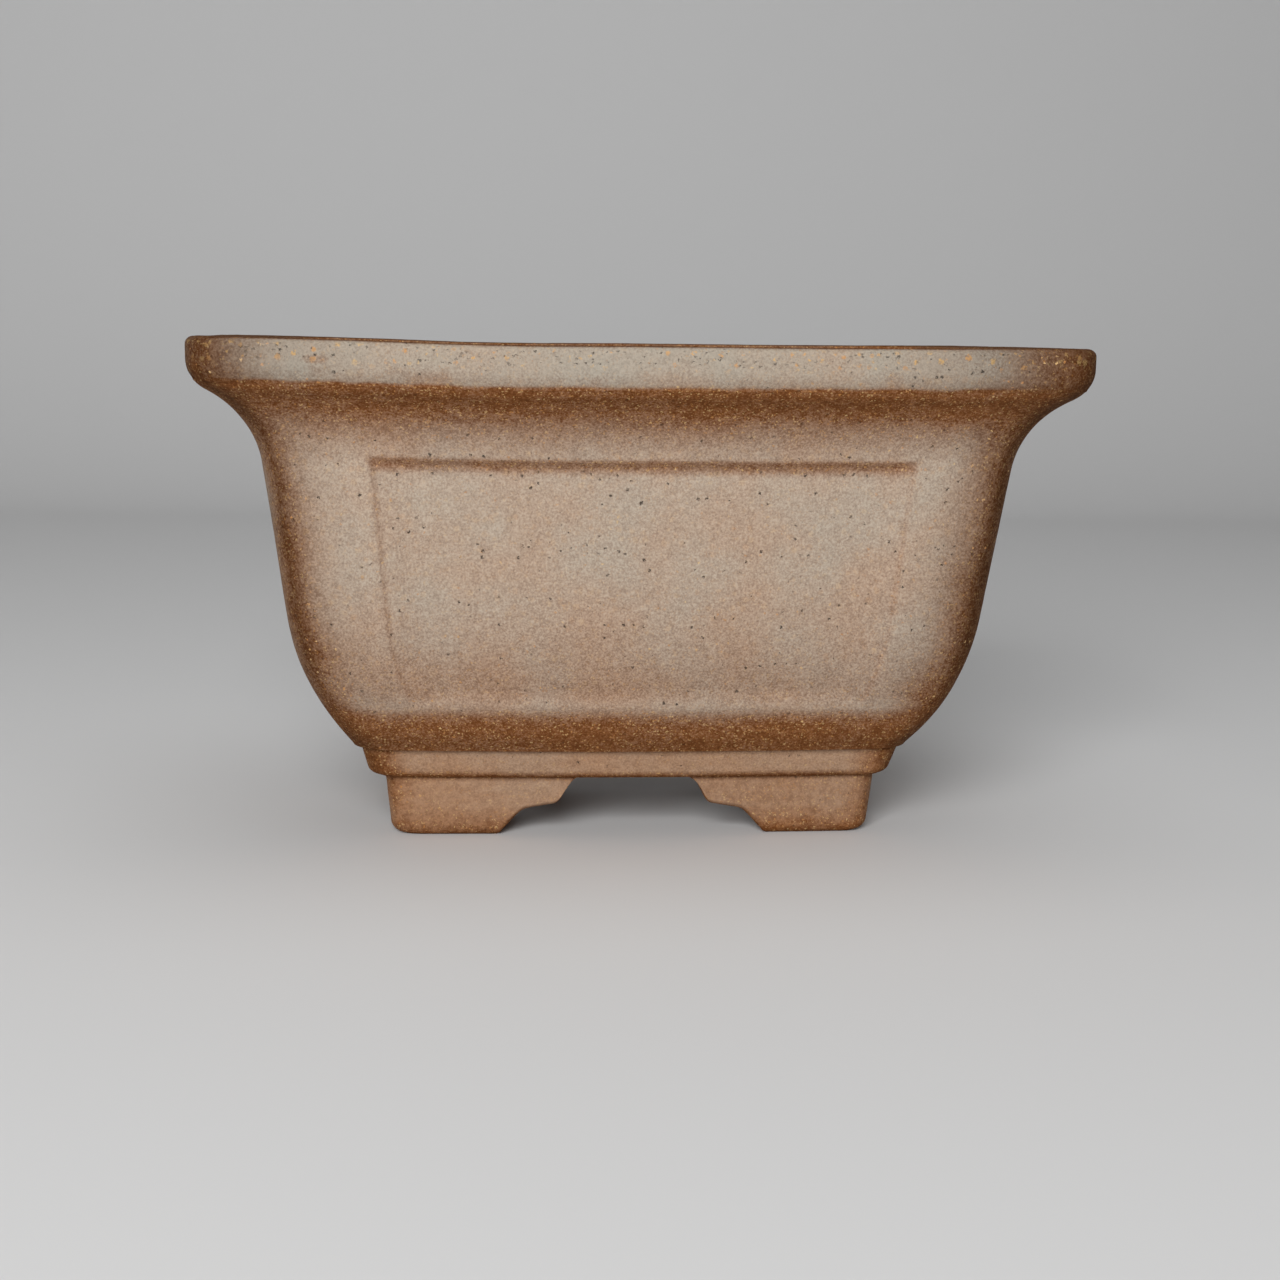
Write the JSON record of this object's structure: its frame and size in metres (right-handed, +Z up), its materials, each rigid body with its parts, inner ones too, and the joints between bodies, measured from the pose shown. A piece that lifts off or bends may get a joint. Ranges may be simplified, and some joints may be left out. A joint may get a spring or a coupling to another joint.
{
  "type": "bonsai pot",
  "caption": "Deep rectangular stoneware bonsai pot with a flat projecting rim, sunk panels in bellied walls, a foot band, bracket feet and drainage holes.",
  "frame": {"origin": "bottom centre, in the plane of the four soles", "axes": "+X along the long sides, -Y is the front, +Z up"},
  "size_m": [0.302, 0.211, 0.1774],
  "materials": {
    "wall_clay": "matte",
    "rim_clay": "matte, slight sheen",
    "band_clay": "matte",
    "foot_clay": "matte",
    "floor_clay": "matte"
  },
  "bodies": {
    "root": {"floor_slab": "floor_clay", "front_wall": "wall_clay", "back_wall": "wall_clay", "left_wall": "wall_clay", "right_wall": "wall_clay", "rim_front": "rim_clay", "rim_back": "rim_clay", "rim_left": "rim_clay", "rim_right": "rim_clay", "band_front": "band_clay", "band_back": "band_clay", "band_left": "band_clay", "band_right": "band_clay", "foot_front_left": "foot_clay", "foot_front_right": "foot_clay", "foot_back_left": "foot_clay", "foot_back_right": "foot_clay"}
  },
  "joints": []
}
